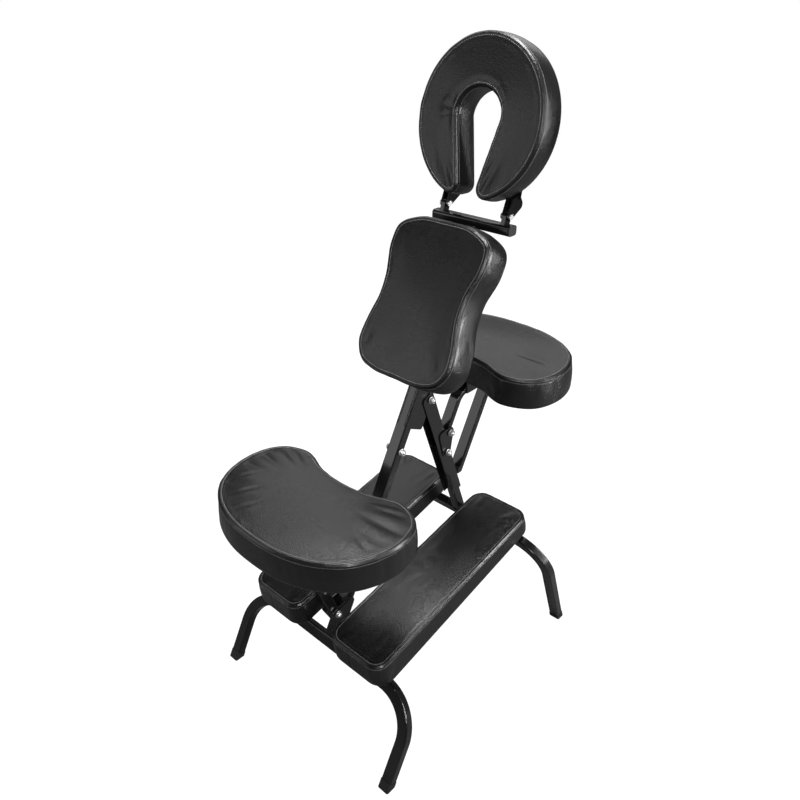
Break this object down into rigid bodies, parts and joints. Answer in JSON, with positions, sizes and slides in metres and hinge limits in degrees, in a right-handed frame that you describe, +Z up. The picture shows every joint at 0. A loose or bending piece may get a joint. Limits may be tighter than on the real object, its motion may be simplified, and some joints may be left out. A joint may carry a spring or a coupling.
{
  "type": "kneeling massage chair",
  "caption": "Folding kneeling massage chair with tilting face cradle, chest pad, armrest, height-adjustable seat and knee pads on a tubular steel frame.",
  "frame": {"origin": "middle of the bounding box in X and Y, at floor level", "axes": "+Z up, +Y the way the sitter faces, +X to the sitter's right"},
  "size_m": [0.513, 0.8025, 1.3133],
  "materials": {
    "padding": "semi-gloss synthetic leather over foam",
    "board": "plywood, stained black",
    "zinc": "bright zinc plate",
    "rubber": "matt",
    "plastic": "satin moulding",
    "steel": "gloss black powder coat"
  },
  "bodies": {
    "front_frame": {"front_leg_bar": "steel", "mast_tube": "steel", "strut_bracket": "steel", "seat_bracket": "steel", "knee_hinge_lugs": "steel", "mast_sleeve": "plastic", "mast_stop_bolt": "zinc", "strut_pivot_bolt": "zinc", "seat_pivot_bolt": "zinc", "stay_pivot_bolt": "zinc", "front_foot_left": "rubber", "front_foot_right": "rubber"},
    "rear_frame": {"rear_leg_bar": "steel", "rear_strut": "steel", "strut_channel": "steel", "arm_bracket": "steel", "arm_bracket_bolt": "zinc", "arm_pivot_bolt": "zinc", "rear_foot_left": "rubber", "rear_foot_right": "rubber"},
    "armrest": {"armrest_arm": "steel", "armrest_prop": "steel", "armrest_prop_cap": "rubber", "armrest_mount": "steel", "armrest_board": "board", "armrest_cushion": "padding"},
    "chest_pad": {"chest_sleeve": "steel", "chest_board": "board", "chest_cushion": "padding"},
    "headrest": {"headrest_stem": "steel", "cross_tube": "steel", "cross_tube_caps": "rubber", "cradle_lugs": "steel", "cradle_bolts": "zinc"},
    "face_cradle": {"cradle_hinge_left": "steel", "cradle_hinge_right": "steel", "cradle_board": "board", "cradle_cushion": "padding"},
    "seat_post": {"seat_post": "steel", "seat_stay_pin": "zinc"},
    "seat": {"seat_stem": "steel", "seat_plate": "steel", "seat_board": "board", "seat_cushion": "padding"},
    "seat_stay": {"seat_stay": "steel"},
    "knee_pad_left": {"knee_board_left": "board", "knee_cushion_left": "padding", "knee_channel_left": "steel", "knee_pin_left": "zinc", "knee_saddle_left": "plastic"},
    "knee_pad_right": {"knee_board_right": "board", "knee_cushion_right": "padding", "knee_channel_right": "steel", "knee_pin_right": "zinc", "knee_saddle_right": "plastic"},
    "headrest_knob": {"headrest_knob": "plastic"},
    "chest_knob": {"chest_knob": "plastic"},
    "seat_knob": {"seat_knob": "plastic"}
  },
  "joints": [
    {"name": "frame_fold", "type": "hinge", "parent": "front_frame", "child": "rear_frame", "pos_m": [0, 0.06566, 0.6309], "axis": [-1, 0, 0], "range_deg": [0, 40]},
    {"name": "armrest_swing", "type": "hinge", "parent": "rear_frame", "child": "armrest", "pos_m": [0, 0.13164, 0.52216], "axis": [1, 0, 0], "range_deg": [0, 25]},
    {"name": "chest_pad_slide", "type": "slide", "parent": "front_frame", "child": "chest_pad", "axis": [0, 0.4695, 0.8829], "range_m": [-0.05, 0.03]},
    {"name": "headrest_height", "type": "slide", "parent": "front_frame", "child": "headrest", "axis": [0, 0.4695, 0.8829], "range_m": [0, 0.08]},
    {"name": "cradle_tilt", "type": "hinge", "parent": "headrest", "child": "face_cradle", "pos_m": [0, 0.2058, 0.997], "axis": [1, 0, 0], "range_deg": [-25, 30]},
    {"name": "seat_post_swing", "type": "hinge", "parent": "front_frame", "child": "seat_post", "pos_m": [0, -0.2242, 0.243], "axis": [-1, 0, 0], "range_deg": [0, 15]},
    {"name": "seat_height", "type": "slide", "parent": "seat_post", "child": "seat", "axis": [0, -0.3584, 0.9336], "range_m": [0, 0.05]},
    {"name": "seat_stay_swing", "type": "hinge", "parent": "front_frame", "child": "seat_stay", "pos_m": [0, -0.1571, 0.30298], "axis": [-1, 0, 0], "range_deg": [0, 7.5]},
    {"name": "knee_pad_left_lift", "type": "hinge", "parent": "front_frame", "child": "knee_pad_left", "pos_m": [-0.119, -0.23633, 0.18595], "axis": [1, 0, 0], "range_deg": [0, 20]},
    {"name": "knee_pad_right_lift", "type": "hinge", "parent": "front_frame", "child": "knee_pad_right", "pos_m": [0.119, -0.23633, 0.18595], "axis": [1, 0, 0], "range_deg": [0, 20]},
    {"name": "headrest_knob_turn", "type": "hinge", "parent": "front_frame", "child": "headrest_knob", "pos_m": [0, 0.18339, 0.87946], "axis": [0, -0.8829, 0.4695], "continuous": true},
    {"name": "chest_knob_turn", "type": "hinge", "parent": "chest_pad", "child": "chest_knob", "pos_m": [0, 0.13175, 0.78234], "axis": [0, -0.8829, 0.4695], "continuous": true},
    {"name": "seat_knob_turn", "type": "hinge", "parent": "seat_post", "child": "seat_knob", "pos_m": [0, -0.26428, 0.43113], "axis": [0, -0.9336, -0.3584], "continuous": true}
  ],
  "couplings": [
    {"joint": "seat_stay_swing", "follows": "seat_post_swing", "ratio": 0.5},
    {"joint": "knee_pad_left_lift", "follows": "frame_fold", "ratio": 0.5},
    {"joint": "knee_pad_right_lift", "follows": "frame_fold", "ratio": 0.5}
  ]
}
